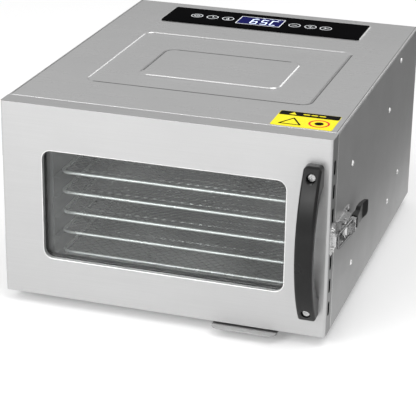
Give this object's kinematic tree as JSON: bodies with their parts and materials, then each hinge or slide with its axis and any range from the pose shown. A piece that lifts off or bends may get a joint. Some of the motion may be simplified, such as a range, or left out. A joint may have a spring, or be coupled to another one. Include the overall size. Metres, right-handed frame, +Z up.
{
  "type": "food dehydrator",
  "caption": "Box-shaped steel food dehydrator with a glazed swing door, bow handle, side draw latch, sliding wire racks over a drip tray, rear fan and touch panel on top.",
  "frame": {"origin": "centre of the object's box in plan, on the surface that the feet stand on", "axes": "+Z up, front door faces -Y, latch side is +X"},
  "size_m": [0.3604, 0.447, 0.2192],
  "materials": {
    "case_steel": "brushed",
    "door_steel": "brushed",
    "inner_steel": "satin",
    "latch_steel": "polished",
    "bright_metal": "polished",
    "rack_wire": "polished",
    "tray_steel": "satin",
    "motor_metal": "satin",
    "fan_metal": "satin",
    "heater_metal": "matte",
    "ceramic": "matte",
    "black_plastic": "moulded",
    "guide_steel": "satin",
    "handle_black": "satin",
    "board_green": "matte",
    "control_glass": "gloss",
    "window_glass": "clear",
    "rubber": "matte",
    "label_yellow": "printed"
  },
  "bodies": {
    "case": {"top_panel": "case_steel", "side_panel_right": "case_steel", "side_panel_left": "case_steel", "base_pan": "inner_steel", "rear_cover": "case_steel", "front_frame": "inner_steel", "liner_right": "inner_steel", "liner_left": "inner_steel", "liner_top": "inner_steel", "liner_floor": "inner_steel", "rack_rails_right": "inner_steel", "rack_rails_left": "inner_steel", "fan_baffle": "inner_steel", "motor_plate": "inner_steel", "fan_motor": "motor_metal", "heating_element": "heater_metal", "heater_supports": "ceramic", "thermal_cutout": "black_plastic", "temperature_probe": "bright_metal", "control_glass": "control_glass", "display_module": "black_plastic", "control_board": "board_green", "power_board": "board_green", "power_inlet": "black_plastic", "foot_1": "rubber", "foot_2": "rubber", "foot_3": "rubber", "foot_4": "rubber", "foot_screws": "bright_metal", "case_rivets": "bright_metal", "info_label": "label_yellow", "guide_rails": "inner_steel", "hinge_leaves_case": "case_steel", "hinge_pins": "bright_metal", "latch_base": "latch_steel", "latch_pin": "latch_steel"},
    "fan": {"fan_rotor": "fan_metal"},
    "door": {"door_shell": "door_steel", "door_inner_pan": "inner_steel", "door_glass": "window_glass", "glass_gasket": "rubber", "door_seal": "rubber", "handle": "handle_black", "handle_screws": "bright_metal", "latch_keeper": "latch_steel", "keeper_screws": "bright_metal", "hinge_leaves_door": "case_steel"},
    "lever": {"latch_lever": "latch_steel", "latch_grip": "handle_black"},
    "loop": {"latch_loop": "latch_steel"},
    "guide": {"guide_plate": "guide_steel"},
    "rack_1_body": {"rack_1": "rack_wire"},
    "rack_2_body": {"rack_2": "rack_wire"},
    "rack_3_body": {"rack_3": "rack_wire"},
    "rack_4_body": {"rack_4": "rack_wire"},
    "rack_5_body": {"rack_5": "rack_wire"},
    "drip_tray_body": {"drip_tray": "tray_steel"}
  },
  "joints": [
    {"name": "door_swing", "type": "hinge", "parent": "case", "child": "door", "pos_m": [-0.1772, -0.167, 0.115], "axis": [0, 0, -1], "range_deg": [0, 120]},
    {"name": "lever_swing", "type": "hinge", "parent": "case", "child": "lever", "pos_m": [0.1722, -0.1485, 0.113], "axis": [0, 0, -1], "range_deg": [0, 130]},
    {"name": "loop_swing", "type": "hinge", "parent": "lever", "child": "loop", "pos_m": [0.1772, -0.1385, 0.113], "axis": [0, 0, 1], "range_deg": [0, 143]},
    {"name": "guide_slide", "type": "slide", "parent": "case", "child": "guide", "axis": [0, -1, 0], "range_m": [0, 0.12]},
    {"name": "fan_spin", "type": "hinge", "parent": "case", "child": "fan", "pos_m": [-0.0038, 0.1555, 0.104], "axis": [0, 1, 0], "continuous": true},
    {"name": "rack_1_slide", "type": "slide", "parent": "case", "child": "rack_1_body", "axis": [0, -1, 0], "range_m": [0, 0.1383]},
    {"name": "rack_2_slide", "type": "slide", "parent": "case", "child": "rack_2_body", "axis": [0, -1, 0], "range_m": [0, 0.1215]},
    {"name": "rack_3_slide", "type": "slide", "parent": "case", "child": "rack_3_body", "axis": [0, -1, 0], "range_m": [0, 0.1048]},
    {"name": "rack_4_slide", "type": "slide", "parent": "case", "child": "rack_4_body", "axis": [0, -1, 0], "range_m": [0, 0.088]},
    {"name": "rack_5_slide", "type": "slide", "parent": "case", "child": "rack_5_body", "axis": [0, -1, 0], "range_m": [0, 0.0713]},
    {"name": "drip_tray_slide", "type": "slide", "parent": "case", "child": "drip_tray_body", "axis": [0, -1, 0], "range_m": [0, 0.1508]}
  ],
  "couplings": [
    {"joint": "loop_swing", "follows": "lever_swing", "ratio": 1.1},
    {"joint": "rack_1_slide", "follows": "door_swing", "m_per_rad": 0.066},
    {"joint": "rack_2_slide", "follows": "door_swing", "m_per_rad": 0.058},
    {"joint": "rack_3_slide", "follows": "door_swing", "m_per_rad": 0.05},
    {"joint": "rack_4_slide", "follows": "door_swing", "m_per_rad": 0.042},
    {"joint": "rack_5_slide", "follows": "door_swing", "m_per_rad": 0.034},
    {"joint": "drip_tray_slide", "follows": "door_swing", "m_per_rad": 0.072}
  ]
}
